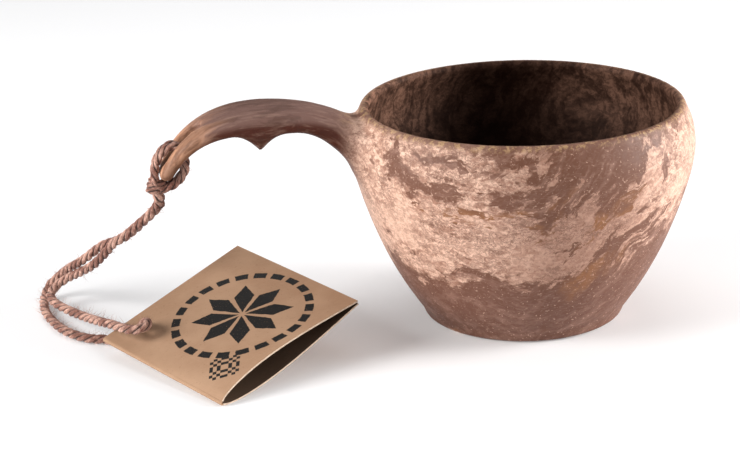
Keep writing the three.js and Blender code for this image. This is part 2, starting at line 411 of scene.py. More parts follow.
# cup
cup = {
    "outerWall": [(29.7, 2), (35.1, 10.2), (40, 19.2), (44.1, 28.8), (47.4, 38.4), (49.4, 46),
                  (50, 52), (49.2, 57.8), (47.15, 62.55)],
    "innerWall": [(44.25, 62.55), (46.2, 57.6), (47, 52), (44.9, 40), (41.6, 30.6), (37.2, 21.2),
                  (31.6, 12), (25.4, 6.4), (16, 4.3)],
    "baseRadius": 28,
    "baseCorner": 2,
    "height": 64,
    "rimMiddle": 45.7,
    "lipRadius": 1.45,
    "floor": 4,
    "sides": 160,
    "voxel": 0.85 * mm,
    "smoothRounds": 4,
    "rootSmoothRounds": 26,
}

handle = {
    # x, z of the section's middle, half width, half thickness above and below
    "stations": [
        (-40, 52, 20, 8.5, 13), (-45, 53, 17, 8.3, 13), (-48, 54, 13.5, 7.8, 11.5),
        (-50, 56, 11.2, 6.5, 10), (-52, 58.4, 9.8, 5, 8), (-54.5, 60.4, 8.8, 4.2, 6.2),
        (-58.5, 62.4, 8.4, 3.6, 4.3),
        (-64, 64, 9.2, 3.4, 3.4), (-71, 64.9, 10.7, 3.3, 3.5), (-78, 65, 11.3, 3.3, 3.3),
        (-85, 64.5, 10.9, 2.9, 2.8), (-91, 62.9, 9.9, 2.5, 2.5), (-95.5, 60.5, 8.8, 2.3, 2.3),
        (-99, 57.6, 7.7, 2.2, 2.2), (-101.8, 54, 6.4, 2.1, 2.1), (-103.5, 51.2, 5.2, 2, 2),
        (-104.5, 48.7, 4, 1.8, 1.8),
    ],
    "rings": 120,
    "ringPoints": 48,
    "squareness": 3.6,
    "uprightUntil": 52,
    "leaningFrom": 62,
    "spurX": -77.4,
    "spurDrop": 5.2,
    "spurReach": 8.5,
    "tipRound": 2.4,
    "eyeTop": (-91.8, 62.4),
    "eyeEnd": (-102.7, 52.2),
    "eyeWidth": 5,
    "eyeCutDepth": 24,
}


def smoothStep(value, low, high):
    t = min(max((value - low) / (high - low), 0), 1)
    return t * t * (3 - 2 * t)


# A loop of points carried from ring to ring, closed with a face at each end.
def extrudeRings(name, rings):
    bpy.ops.object.select_all(action="DESELECT")
    bpy.ops.mesh.primitive_circle_add(vertices=len(rings[0]), radius=1)
    body = bpy.context.object
    body.name = name
    bpy.ops.object.mode_set(mode="EDIT")
    bm = bmesh.from_edit_mesh(body.data)
    bm.verts.ensure_lookup_table()
    for vert, spot in zip(bm.verts, rings[0]):
        vert.co = spot
    bpy.ops.mesh.select_all(action="SELECT")
    bpy.ops.mesh.edge_face_add()
    bpy.ops.mesh.select_all(action="DESELECT")
    bpy.ops.mesh.select_mode(type="EDGE")
    bm = bmesh.from_edit_mesh(body.data)
    for face in bm.faces:
        face.select = False
    for edge in bm.edges:
        edge.select = True
    count = len(rings[0])
    for ring in rings[1:]:
        bpy.ops.mesh.extrude_edges_move()
        bm = bmesh.from_edit_mesh(body.data)
        bm.verts.ensure_lookup_table()
        for vert, spot in zip(bm.verts[-count:], ring):
            vert.co = spot
    bpy.ops.mesh.edge_face_add()
    bpy.ops.mesh.select_all(action="SELECT")
    bpy.ops.mesh.normals_make_consistent(inside=False)
    bpy.ops.object.mode_set(mode="OBJECT")
    body.data.name = name
    return body


def lathedRings(profile, sides):
    rings = []
    for radius, height in profile:
        ring = []
        for k in range(sides):
            angle = 2 * math.pi * k / sides
            ring.append(Vector((radius * math.cos(angle), radius * math.sin(angle), height)) * mm)
        rings.append(ring)
    return rings


def wallPoints(points, count):
    flat = [Vector((r, 0, z)) for r, z in points]
    return [(p.x, p.z) for p in (curvePoint(flat, k / count) for k in range(count + 1))]


def arc(centreX, centreZ, radius, start, end, count):
    return [(centreX + radius * math.cos(start + (end - start) * k / count),
             centreZ + radius * math.sin(start + (end - start) * k / count)) for k in range(count + 1)]


def bowlProfile(values):
    corner = arc(values["baseRadius"], values["baseCorner"], values["baseCorner"], -math.pi / 2, -0.35, 6)
    lipZ = values["height"] - values["lipRadius"]
    lip = arc(values["rimMiddle"], lipZ, values["lipRadius"], 0, math.pi, 12)
    return ([(0.5, 0), (14, 0)] + corner + wallPoints(values["outerWall"], 40) + lip[1:-1]
            + wallPoints(values["innerWall"], 40) + [(8, values["floor"] + 0.1), (0.5, values["floor"])])


def coreProfile(values):
    inner = [(r + 1, z - 1) for r, z in wallPoints(values["innerWall"], 30)[1:]]
    return ([(0.5, values["floor"] - 1)] + inner[::-1]
            + [(values["rimMiddle"], values["height"] - values["lipRadius"]),
               (values["rimMiddle"], values["height"] + 5), (0.5, values["height"] + 5)])


def handlePath(values):
    return [Vector((s[0], 0, s[1])) for s in values["stations"]]


def handleRings(values):
    path = handlePath(values)
    sizes = [Vector(s[2:5]) for s in values["stations"]]
    rings = []
    for i in range(values["rings"] + 1):
        t = i / values["rings"]
        centre = curvePoint(path, t)
        size = curvePoint(sizes, t)
        along = (curvePoint(path, min(t + 0.002, 1)) - curvePoint(path, max(t - 0.002, 0))).normalized()
        lean = smoothStep(-centre.x, values["uprightUntil"], values["leaningFrom"])
        up = Vector((along.z * lean, 0, 1 + (-along.x - 1) * lean)).normalized()
        remaining = (path[-1] - centre).length
        rounding = math.sqrt(max(0.0, 1 - max(0, 1 - (remaining + 0.15) / values["tipRound"]) ** 2))
        nearSpur = max(0, 1 - abs(centre.x - values["spurX"]) / values["spurReach"])
        down = size.z + values["spurDrop"] * nearSpur ** 2
        ring = []
        for k in range(values["ringPoints"]):
            angle = -2 * math.pi * k / values["ringPoints"]
            c, s = math.cos(angle), math.sin(angle)
            across = math.copysign(abs(c) ** (2 / values["squareness"]), c) * size.x * rounding
            lift = math.copysign(abs(s) ** (2 / values["squareness"]), s)
            rise = lift * (size.y if lift > 0 else down) * rounding
            spot = centre + up * rise
            spot.y += across
            ring.append(spot * mm)
        rings.append(ring)
    return rings


# The long eye's shape, square to the handle near its tip.
def eyeCutter(values):
    top = Vector(values["eyeTop"])
    end = Vector(values["eyeEnd"])
    middle = (top + end) / 2
    length = (end - top).length * mm
    angle = math.atan2(end.y - top.y, end.x - top.x)
    bpy.ops.object.select_all(action="DESELECT")
    bpy.ops.mesh.primitive_cube_add(size=1)
    cutter = bpy.context.object
    bpy.ops.object.mode_set(mode="EDIT")
    bpy.ops.transform.resize(value=(length, values["eyeWidth"] * mm, values["eyeCutDepth"] * mm))
    bpy.ops.mesh.select_mode(type="EDGE")
    bm = bmesh.from_edit_mesh(cutter.data)
    for edge in bm.edges:
        a, b = edge.verts
        edge.select = abs(a.co.z - b.co.z) > 1 * mm
    bm.select_flush_mode()
    bpy.ops.mesh.bevel(offset=values["eyeWidth"] / 2 * mm * 0.98, segments=8)
    bpy.ops.mesh.select_all(action="SELECT")
    bpy.ops.object.mode_set(mode="OBJECT")
    turn = Matrix.Rotation(-angle, 4, "Y")
    cutter.data.transform(Matrix.Translation((middle.x * mm, 0, middle.y * mm)) @ turn)
    return cutter


def combine(obj, other, operation):
    modifier = obj.modifiers.new("combine", "BOOLEAN")
    modifier.operation = operation
    modifier.object = other
    modifier.solver = "EXACT"
    pickOnly(obj)
    bpy.ops.object.modifier_apply(modifier=modifier.name)
    bpy.data.objects.remove(other, do_unlink=True)


def makeCup():
    bowl = extrudeRings("kuksa_cup", lathedRings(bowlProfile(cup), cup["sides"]))
    root = extrudeRings("handleWork", handleRings(handle))
    combine(root, extrudeRings("coreWork", lathedRings(coreProfile(cup), cup["sides"])), "DIFFERENCE")
    combine(root, eyeCutter(handle), "DIFFERENCE")
    combine(bowl, root, "UNION")
    remesh = bowl.modifiers.new("evenSkin", "REMESH")
    remesh.mode = "VOXEL"
    remesh.voxel_size = cup["voxel"]
    soften = bowl.modifiers.new("soften", "SMOOTH")
    soften.factor = 0.5
    soften.iterations = cup["smoothRounds"]
    pickOnly(bowl)
    bpy.ops.object.modifier_apply(modifier=remesh.name)
    bpy.ops.object.modifier_apply(modifier=soften.name)
    blendRoot(bowl)
    bpy.ops.object.shade_smooth()
    return bowl


# mm spans over which the smoothing at the handle's root fades in or out
rootBlend = {
    "fromX": (40, 45),
    "untilX": (54, 62),
    "fromZ": (34, 40),
    "untilY": (22, 27),
    "outsideRadius": (47.2, 48.6),
}


# The handle flows into the bowl: the corner between them is smoothed
def blendRoot(bowl):
    group = bowl.vertex_groups.new(name="root")
    for vert in bowl.data.vertices:
        x, y, z = vert.co / mm
        radius = math.hypot(x, y)
        weight = (smoothStep(-x, *rootBlend["fromX"]) * (1 - smoothStep(-x, *rootBlend["untilX"]))
                  * smoothStep(z, *rootBlend["fromZ"]) * (1 - smoothStep(abs(y), *rootBlend["untilY"]))
                  * smoothStep(radius, *rootBlend["outsideRadius"]))
        if weight > 0:
            group.add([vert.index], weight, "REPLACE")
    soften = bowl.modifiers.new("blendRoot", "SMOOTH")
    soften.vertex_group = "root"
    soften.factor = 0.5
    soften.iterations = cup["rootSmoothRounds"]
    bpy.ops.object.modifier_apply(modifier=soften.name)
    bowl.vertex_groups.clear()


# Where each point lies: along the handle, and inside or outside the bowl
def markCup(bowl):
    last = 200
    path = [curvePoint(handlePath(handle), k / last) for k in range(last + 1)]
    lengths = [0.0]
    for a, b in zip(path, path[1:]):
        lengths.append(lengths[-1] + (b - a).length)
    outer = wallPoints(cup["outerWall"], 60)
    inner = wallPoints(cup["innerWall"], 60)

    def radiusAt(wall, z):
        return min(wall, key=lambda p: abs(p[1] - z))[0]

    middle = [(radiusAt(outer, z) + radiusAt(inner, z)) / 2 for z in range(0, 66)]
    flow = bowl.data.attributes.new("flow", "FLOAT_VECTOR", "POINT")
    zone = bowl.data.attributes.new("zone", "FLOAT_VECTOR", "POINT")
    for vert in bowl.data.vertices:
        x, y, z = vert.co / mm
        radius = math.hypot(x, y)
        step = min(int(max(z, 0)), 64)
        wallMiddle = middle[step] + (middle[step + 1] - middle[step]) * (max(z, 0) - step)
        inside = smoothStep(wallMiddle - radius, -0.5, 0.7) * smoothStep(z, 2, 3)
        onHandle = smoothStep(-x, 47, 56) * smoothStep(z, 38, 48)
        spot = Vector((x, y, z))
        rise = 0.0
        if onHandle > 0:
            nearest = min(range(last + 1), key=lambda k: (path[k].x - x) ** 2 + (path[k].z - z) ** 2)
            centre = path[nearest]
            along = (path[min(nearest + 1, last)] - path[max(nearest - 1, 0)]).normalized()
            rise = (Vector((x, 0, z)) - centre).dot(Vector((along.z, 0, -along.x)))
            spot = spot.lerp(Vector((-38 - lengths[nearest], y, 56 + rise)), onHandle)
        flow.data[vert.index].vector = spot * mm
        zone.data[vert.index].vector = (inside, onHandle, rise)


cupPiece = makeCup()
markCup(cupPiece)
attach(cupPiece, "cup_and_twine")
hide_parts("cup")
print("cup made:", len(cupPiece.data.polygons), "faces")


# tag
tag = {
    "side": 52,
    "card": 0.5,
    "halfGap": 0.2,
    "corner": (-124.8, -8.4, 5.2),
    "yaw": -56,
    "foldSlope": 4.6,
    "tilt": 16.3,
    "frontBulge": 3.3,
    "backBulge": 2.8,
    "bulgeSkew": 0.65,
    "hole": (5.95, 8.9),
    "holeRadius": 2.5,
    "punchDepth": 12,
    "creaseSteps": 10,
    "creaseCuts": 24,
    "cuts": 56,
}


def tagMatrix(values):
    turn = (Matrix.Rotation(math.radians(values["yaw"]), 4, "Z")
            @ Matrix.Rotation(math.radians(values["foldSlope"]), 4, "Y")
            @ Matrix.Rotation(math.radians(values["tilt"]), 4, "X"))
    return Matrix.Translation(Vector(values["corner"]) * mm) @ turn


def makeLeaf(name, side, bulge, values):
    size = values["side"] * mm
    bpy.ops.object.select_all(action="DESELECT")
    bpy.ops.mesh.primitive_grid_add(x_subdivisions=values["cuts"], y_subdivisions=values["cuts"], size=size,
                                    location=(size / 2, size / 2, 0), calc_uvs=True)
    leaf = bpy.context.object
    leaf.name = name
    leaf.data.name = name
    bpy.ops.object.transform_apply(location=True, rotation=False, scale=False)
    for vert in leaf.data.vertices:
        u = min(max(vert.co.x / size, 0), 1)
        v = min(max(vert.co.y / size, 0), 1)
        bow = bulge * u ** 1.5 * math.sin(math.pi * v ** values["bulgeSkew"])
        vert.co.z = side * (values["halfGap"] + values["card"] + bow) * mm
    if side < 0:
        bpy.ops.object.mode_set(mode="EDIT")
        bpy.ops.mesh.select_all(action="SELECT")
        bpy.ops.mesh.flip_normals()
        bpy.ops.object.mode_set(mode="OBJECT")
    for _ in range(3):
        leaf.data.materials.append(None)
    thick = leaf.modifiers.new("cardThickness", "SOLIDIFY")
    thick.thickness = values["card"] * mm
    thick.offset = -1
    thick.material_offset = 1
    thick.material_offset_rim = 2
    pickOnly(leaf)
    bpy.ops.object.modifier_apply(modifier=thick.name)
    bpy.ops.object.select_all(action="DESELECT")
    bpy.ops.mesh.primitive_cylinder_add(vertices=48, radius=values["holeRadius"] * mm,
                                        depth=values["punchDepth"] * mm,
                                        location=(values["hole"][0] * mm, values["hole"][1] * mm, 0))
    punch = bpy.context.object
    bpy.ops.object.transform_apply(location=True, rotation=False, scale=False)
    punch.data.materials.append(None)
    combine(leaf, punch, "DIFFERENCE")
    pickOnly(leaf)
    bpy.ops.object.shade_smooth_by_angle(angle=math.radians(35))
    leaf.data.transform(tagMatrix(values))
    return leaf


# The rounded crease that joins the two leaves.
def makeFold(name, values):
    outer = (values["halfGap"] + values["card"]) * mm
    inner = values["halfGap"] * mm
    length = values["side"] * mm
    steps = values["creaseSteps"]
    cuts = values["creaseCuts"]
    outline = [(-math.sin(math.pi * k / steps) * outer, math.cos(math.pi * k / steps) * outer)
               for k in range(steps + 1)]
    outline += [(-math.sin(math.pi * k / steps) * inner, math.cos(math.pi * k / steps) * inner)
                for k in range(steps, -1, -1)]
    rings = [[Vector((length * k / cuts, y, z)) for y, z in outline] for k in range(cuts + 1)]
    fold = extrudeRings(name, rings)
    fold.data.transform(tagMatrix(values))
    pickOnly(fold)
    bpy.ops.object.shade_smooth_by_angle(angle=math.radians(40))
    return fold


frontLeaf = makeLeaf("tag_front", 1, tag["frontBulge"], tag)
backLeaf = makeLeaf("tag_back", -1, tag["backBulge"], tag)
foldPiece = makeFold("tag_fold", tag)
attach(frontLeaf, "tag_flap")
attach(backLeaf, "tag")
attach(foldPiece, "tag")
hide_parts("tag_front_leaf")
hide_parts("tag_back_leaf")
print("tag made")


# node helpers
# Short names for adding and joining shader nodes.
class Tree:
    def __init__(self, nodeTree):
        self.tree = nodeTree

    def add(self, kind, values=None, **props):
        node = self.tree.nodes.new("ShaderNode" + kind)
        for key, value in props.items():
            setattr(node, key, value)
        for key, value in (values or {}).items():
            self.feed(node.inputs[key], value)
        return node

    def feed(self, socket, value):
        if isinstance(value, bpy.types.NodeSocket):
            self.tree.links.new(value, socket)
        elif isinstance(value, (tuple, list)) and len(value) == 3 and socket.type == "RGBA":
            socket.default_value = (*value, 1)
        else:
            socket.default_value = value

    def math(self, operation, a, b=0.0, c=0.0, clamp=False):
        return self.add("Math", {0: a, 1: b, 2: c}, operation=operation, use_clamp=clamp).outputs[0]

    def times(self, a, b):
        return self.math("MULTIPLY", a, b)

    def plus(self, a, b, clamp=False):
        return self.math("ADD", a, b, clamp=clamp)

    def minus(self, a, b):
        return self.math("SUBTRACT", a, b)

    def vector(self, operation, a, b=(0, 0, 0)):
        node = self.add("VectorMath", {0: a}, operation=operation)
        if operation == "SCALE":
            self.feed(node.inputs["Scale"], b)
        else:
            self.feed(node.inputs[1], b)
        return node.outputs["Value"] if operation in ("LENGTH", "DOT_PRODUCT") else node.outputs["Vector"]

    def noise(self, vector, scale, detail=3, roughness=0.55, distortion=0.0):
        return self.add("TexNoise", {"Vector": vector, "Scale": scale, "Detail": detail,
                                     "Roughness": roughness, "Distortion": distortion})

    def span(self, value, low, high, start=0.0, end=1.0, smooth=True):
        return self.add("MapRange", {"Value": value, "From Min": low, "From Max": high, "To Min": start,
                                     "To Max": end},
                        interpolation_type="SMOOTHSTEP" if smooth else "LINEAR").outputs["Result"]

    def mix(self, factor, a, b, blend="MIX"):
        return self.add("Mix", {0: factor, 6: a, 7: b}, data_type="RGBA", blend_type=blend).outputs[2]

    def stretch(self, vector, scale, turn=(0, 0, 0)):
        return self.add("Mapping", {"Vector": vector, "Scale": scale, "Rotation": turn}).outputs["Vector"]


def newMaterial(name):
    material = bpy.data.materials.new(name)
    material.use_nodes = True
    material.node_tree.nodes.clear()
    tree = Tree(material.node_tree)
    shader = tree.add("BsdfPrincipled")
    output = tree.add("OutputMaterial")
    material.node_tree.links.new(shader.outputs[0], output.inputs[0])
    return material, tree, shader


def newGroup(name, inputs, outputs):
    group = bpy.data.node_groups.new(name, "ShaderNodeTree")
    for label, kind, value in inputs:
        socket = group.interface.new_socket(name=label, in_out="INPUT", socket_type="NodeSocket" + kind)
        if value is not None:
            socket.default_value = value
    for label, kind in outputs:
        group.interface.new_socket(name=label, in_out="OUTPUT", socket_type="NodeSocket" + kind)
    tree = Tree(group)
    start = group.nodes.new("NodeGroupInput")
    end = group.nodes.new("NodeGroupOutput")
    return group, tree, start.outputs, end.inputs


def useGroup(tree, group, values):
    node = tree.tree.nodes.new("ShaderNodeGroup")
    node.node_tree = group
    for key, value in values.items():
        tree.feed(node.inputs[key], value)
    return node.outputs


def bumpNormal(tree, height, strength, distance):
    node = tree.add("Bump", {"Height": height, "Strength": strength, "Distance": distance})
    return node.outputs["Normal"]


# fine specks and short fibres, shared by the cup and the card
def makeSpeckleGroup():
    group, tree, given, out = newGroup(
        "fibreSpecks",
        [("Vector", "Vector", None), ("Speck Scale", "Float", 900.0), ("Coverage", "Float", 0.3)],
        [("Specks", "Float"), ("Fibres", "Float")])
    specks = tree.noise(given["Vector"], given["Speck Scale"], 2, 0.6).outputs["Fac"]
    edge = tree.minus(0.78, tree.times(given["Coverage"], 0.4))
    tree.feed(out["Specks"], tree.span(tree.minus(specks, edge), 0.0, 0.05))
    warped = tree.vector("ADD", given["Vector"], tree.vector(
        "SCALE", tree.noise(given["Vector"], 260.0, 1).outputs["Color"], 0.003))
    fibres = tree.noise(tree.stretch(warped, (0.18, 1.0, 1.0), (0.5, 0.4, 0.7)), 1700.0, 2, 0.6)
    tree.feed(out["Fibres"], tree.span(fibres.outputs["Fac"], 0.5, 0.68))
    return group


speckleGroup = makeSpeckleGroup()

composite = {
    "cream": (0.76, 0.495, 0.375),
    "pinkTan": (0.37, 0.195, 0.135),
    "vein": (0.17, 0.08, 0.054),
    "smoothBrown": (0.15, 0.062, 0.037),
    "mauve": (0.27, 0.144, 0.105),
    "lowerBrown": (0.145, 0.06, 0.038),
    "orange": (0.30, 0.125, 0.048),
    # the inside's dark colour is painted shade; the inside flake colour shows where painted light falls on
    # the inner walls
    "insidePaintedShade": (0.009, 0.0024, 0.0012),
    "insideLitFlake": (0.30, 0.155, 0.105),
    "lipFleck": (0.42, 0.26, 0.13),
    # the handle's top colour is painted light and its side colour painted shade
    "handleLitTop": (0.155, 0.08, 0.063),
    "handleShade": (0.05, 0.018, 0.010),
    "handleShadedSide": (0.062, 0.010, 0.002),
    "handleTip": (0.46, 0.235, 0.14),
    # painted shade on the underside of the handle's tip; the same dark brown also goes into its random
    # streaks
    "tipShadeAndStreak": (0.16, 0.062, 0.03),
}


# sizes of the marbling: metres for reaches and heights, features per metre for scales
marbling = {
    "swirlScale": 15.0,
    "swirlReach": 0.045,
    "ruffleScale": 110.0,
    "ruffleReach": 0.009,
    "zoneScale": 52.0,
    "zoneStretch": (0.3, 0.7, 1.0),
    "gapScale": 190.0,
    "combScale": 260.0,
    "flakedFrom": 0.445,
    "flakedFull": 0.50,
    "bareBelow": 0.012,
    "flakesAbove": 0.030,
    "veinScales": (330.0, 760.0),
    "lipBottom": 0.0618,
    "lipTop": 0.0634,
    "tipFrom": -0.086,
    "tipFull": -0.100,
    "bumpStrength": 0.5,
    "bumpDepth": 0.00011,
}


def centred(tree, color):
    return tree.vector("SUBTRACT", color, (0.5, 0.5, 0.5))


# thin dark lines where a noise passes through its middle value
def ridges(tree, vector, scale, width, detail=3):
    value = tree.noise(vector, scale, detail, 0.6, 0.6).outputs["Fac"]
    return tree.span(tree.math("ABSOLUTE", tree.minus(value, 0.5)), 0.0, width, 1.0, 0.0)


def makeComposite(values, sizes):
    material, tree, shader = newMaterial("marbledComposite")
    spot = tree.add("TexCoord").outputs["Object"]
    flow = tree.add("Attribute", attribute_name="flow").outputs["Vector"]
    zone = tree.add("Attribute", attribute_name="zone").outputs["Vector"]
    zones = tree.add("SeparateXYZ", {0: zone}).outputs
    inside, onHandle, rise = zones[0], zones[1], zones[2]
    heights = tree.add("SeparateXYZ", {0: spot}).outputs
    along = tree.add("SeparateXYZ", {0: flow}).outputs["X"]

    # slow swirl of the melt, then streaks pulled along it, steeper toward +X
    swirl = centred(tree, tree.noise(spot, sizes["swirlScale"], 2, 0.5).outputs["Color"])
    ruffle = centred(tree, tree.noise(spot, sizes["ruffleScale"], 3, 0.6).outputs["Color"])
    warped = tree.vector("ADD", flow, tree.vector("SCALE", swirl, sizes["swirlReach"]))
    warped = tree.vector("ADD", warped, tree.vector("SCALE", ruffle, sizes["ruffleReach"]))
    lean = tree.span(heights["X"], -0.03, 0.02, 0.1, 0.8)
    turned = tree.add("VectorRotate", {"Vector": warped, "Angle": lean}, rotation_type="Y_AXIS").outputs[0]
    streaked = tree.stretch(turned, sizes["zoneStretch"])
    field = tree.noise(streaked, sizes["zoneScale"], 5, 0.6).outputs["Fac"]
    ragged = tree.noise(tree.stretch(spot, (0.6, 0.6, 1.0)), 380.0, 4, 0.7).outputs["Fac"]
    field = tree.plus(field, tree.times(tree.minus(ragged, 0.5), 0.2))
    combed = tree.noise(tree.stretch(turned, (0.16, 0.8, 1.2)), sizes["combScale"], 5, 0.65).outputs["Fac"]
    leaning = tree.times(tree.span(heights["X"], -0.020, -0.004),
                         tree.span(heights["X"], 0.034, 0.022))
    feather = tree.times(tree.minus(combed, 0.52),
                         tree.times(leaning, 0.75))
    field = tree.plus(field, feather)
    gaps = tree.noise(tree.stretch(turned, (0.4, 0.8, 1.0)), sizes["gapScale"], 3, 0.6).outputs["Fac"]
    field = tree.minus(field, tree.span(gaps, 0.46, 0.36, 0.0, 0.10))
    bare = tree.span(heights["Z"], sizes["bareBelow"], sizes["flakesAbove"], 0.17, 0.0)
    field = tree.minus(field, bare)
    field = tree.minus(field, tree.span(heights["Z"], 0.048, 0.060, 0.0, 0.05))
    # more flakes toward -X and toward the far +X side: partly the real flake pattern, partly painted light
    # on the lit sides
    field = tree.plus(field, tree.span(heights["X"], -0.04, 0.01, 0.07, -0.01))
    field = tree.plus(field, tree.span(heights["X"], 0.014, 0.034, 0.0, 0.05))
    flaked = tree.span(field, sizes["flakedFrom"], sizes["flakedFull"])
    thick = tree.span(field, 0.50, 0.66)

    # fine crooked lines between the flakes
    crooked = tree.vector("ADD", spot, tree.vector("SCALE", centred(
        tree, tree.noise(spot, 600.0, 3, 0.7).outputs["Color"]), 0.0022))
    crooked = tree.stretch(crooked, (0.7, 0.7, 1.25))
    veins = tree.math("MAXIMUM", ridges(tree, crooked, sizes["veinScales"][0], 0.045),
                      tree.times(ridges(tree, crooked, sizes["veinScales"][1], 0.06), 0.8))
    patchy = tree.span(tree.noise(spot, 85.0, 3).outputs["Fac"], 0.36, 0.62, 0.25, 1.0)
    veins = tree.times(veins, patchy)
    mottle = tree.span(tree.noise(crooked, 520.0, 4, 0.7, 0.8).outputs["Fac"], 0.40, 0.60)
    specks = useGroup(tree, speckleGroup, {"Vector": spot, "Speck Scale": 1300.0, "Coverage": 0.5})

    # palest toward -X, and again toward the far +X side: partly the flakes' own paler colour, partly
    # painted light on the lit sides
    paleAndLitSide = tree.plus(tree.span(heights["X"], -0.026, 0.0, 1.0, 0.22),
                         tree.span(heights["X"], 0.012, 0.034, 0.0, 0.8), clamp=True)
    light = tree.mix(tree.times(mottle, paleAndLitSide), values["pinkTan"], values["cream"])
    thickPale = tree.times(tree.times(thick, paleAndLitSide), 0.45)
    light = tree.mix(thickPale, light, values["cream"])
    light = tree.mix(tree.times(veins, 0.8), light, values["vein"])
    light = tree.mix(tree.times(specks["Specks"], 0.35), light, values["vein"])

    # bare ground between the flakes, with feathery combed clouds
    smooth = tree.mix(tree.span(heights["Z"], 0.012, 0.032), values["lowerBrown"], values["smoothBrown"])
    smooth = tree.mix(tree.span(combed, 0.45, 0.68, 0.0, 0.75), smooth, values["mauve"])
    orangeMask = tree.span(tree.noise(streaked, 44.0, 3, 0.6).outputs["Fac"], 0.57, 0.66, 0.0, 0.7)
    smooth = tree.mix(orangeMask, smooth, values["orange"])
    smooth = tree.mix(tree.times(specks["Fibres"], 0.08), smooth, values["cream"])
    dust = tree.span(tree.noise(spot, 1500.0, 1).outputs["Fac"], 0.66, 0.72, 0.0, 0.45)
    smooth = tree.mix(dust, smooth, values["cream"])
    grain = tree.noise(tree.stretch(turned, (0.35, 0.8, 1.0)), 800.0, 3, 0.6).outputs["Fac"]
    smooth = tree.mix(tree.span(grain, 0.50, 0.36, 0.0, 0.5), smooth, values["vein"])
    outer = tree.mix(flaked, smooth, light)

    # lip flecks
    lip = tree.span(heights["Z"], sizes["lipBottom"], sizes["lipTop"])
    fleck = tree.span(tree.noise(spot, 620.0, 3, 0.7).outputs["Fac"], 0.47, 0.62)
    lipColor = tree.mix(fleck, values["vein"], values["lipFleck"])
    outer = tree.mix(tree.times(lip, 0.8), outer, lipColor)

    # inside: dark with painted shade, and lighter with painted light toward the rim and toward -X and +X,
    # where the lamps reach the inner walls; finely mottled
    drawn = tree.noise(tree.stretch(warped, (1.0, 1.0, 0.5)), 260.0, 4, 0.65).outputs["Fac"]
    rimwardLight = tree.span(heights["Z"], 0.020, 0.062)
    litSideShare = tree.plus(tree.span(heights["X"], -0.036, 0.0, 1.0, 0.16),
                          tree.span(heights["X"], 0.006, 0.038, 0.0, 0.4))
    insideLitShare = tree.times(rimwardLight, litSideShare)
    insideLitShare = tree.times(insideLitShare, tree.span(drawn, 0.38, 0.62, 0.25, 1.0))
    insideLitShare = tree.times(insideLitShare, tree.span(mottle, 0.0, 1.0, 0.55, 1.0))
    insideLitShare = tree.times(insideLitShare, tree.span(field, 0.36, 0.52, 0.6, 1.0))
    innerColor = tree.mix(insideLitShare, values["insidePaintedShade"], values["insideLitFlake"])

    # handle: painted light on top, which is greyer and lighter, and painted shade below, which is redder
    # and darker; tan at the tip
    streak = tree.noise(tree.stretch(flow, (0.16, 1.0, 1.0)), 700.0, 4, 0.6, 0.4).outputs["Fac"]
    broad = tree.noise(tree.stretch(warped, (0.3, 1.0, 1.0)), 150.0, 3, 0.6).outputs["Fac"]
    litTopShare = tree.span(rise, -0.6, 1.6)
    handleColor = tree.mix(litTopShare, values["handleShadedSide"], values["handleLitTop"])
    tip = tree.span(tree.plus(along, tree.times(tree.minus(broad, 0.5), 0.03)),
                    sizes["tipFull"], sizes["tipFrom"], 1.0, 0.0)
    # painted shade: the tip is darker on its lower side, below its midline
    tipColor = tree.mix(tree.span(rise, -1.9, 0.6), values["tipShadeAndStreak"], values["handleTip"])
    tipColor = tree.mix(tree.span(streak, 0.50, 0.40, 0.0, 0.5), tipColor, values["tipShadeAndStreak"])
    handleColor = tree.mix(tip, handleColor, tipColor)
    handleColor = tree.mix(tree.span(streak, 0.46, 0.70, 0.0, 0.14), handleColor, values["cream"])
    handleColor = tree.mix(tree.span(broad, 0.55, 0.40, 0.0, 0.45), handleColor, values["handleShade"])
    outer = tree.mix(onHandle, outer, handleColor)

    color = tree.mix(inside, outer, innerColor)
    roughness = tree.span(mottle, 0.0, 1.0, 0.50, 0.62, False)
    height = tree.plus(tree.times(veins, -0.7), tree.times(mottle, 0.35))
    height = tree.times(height, tree.plus(tree.times(flaked, 0.8), 0.2))
    height = tree.plus(height, tree.times(streak, 0.2))
    tree.feed(shader.inputs["Base Color"], color)
    tree.feed(shader.inputs["Roughness"], roughness)
    tree.feed(shader.inputs["Normal"], bumpNormal(tree, height, sizes["bumpStrength"], sizes["bumpDepth"]))
    tree.feed(shader.inputs["Specular IOR Level"], tree.span(inside, 0.0, 1.0, 0.25, 0.05, False))
    return material


twineColors = {
    "pale": (0.64, 0.37, 0.285),
    "rose": (0.235, 0.09, 0.06),
    # the grooves' colour is painted shade
    "dark": (0.085, 0.028, 0.018),
    "grooveShade": (0.018, 0.006, 0.004),
}


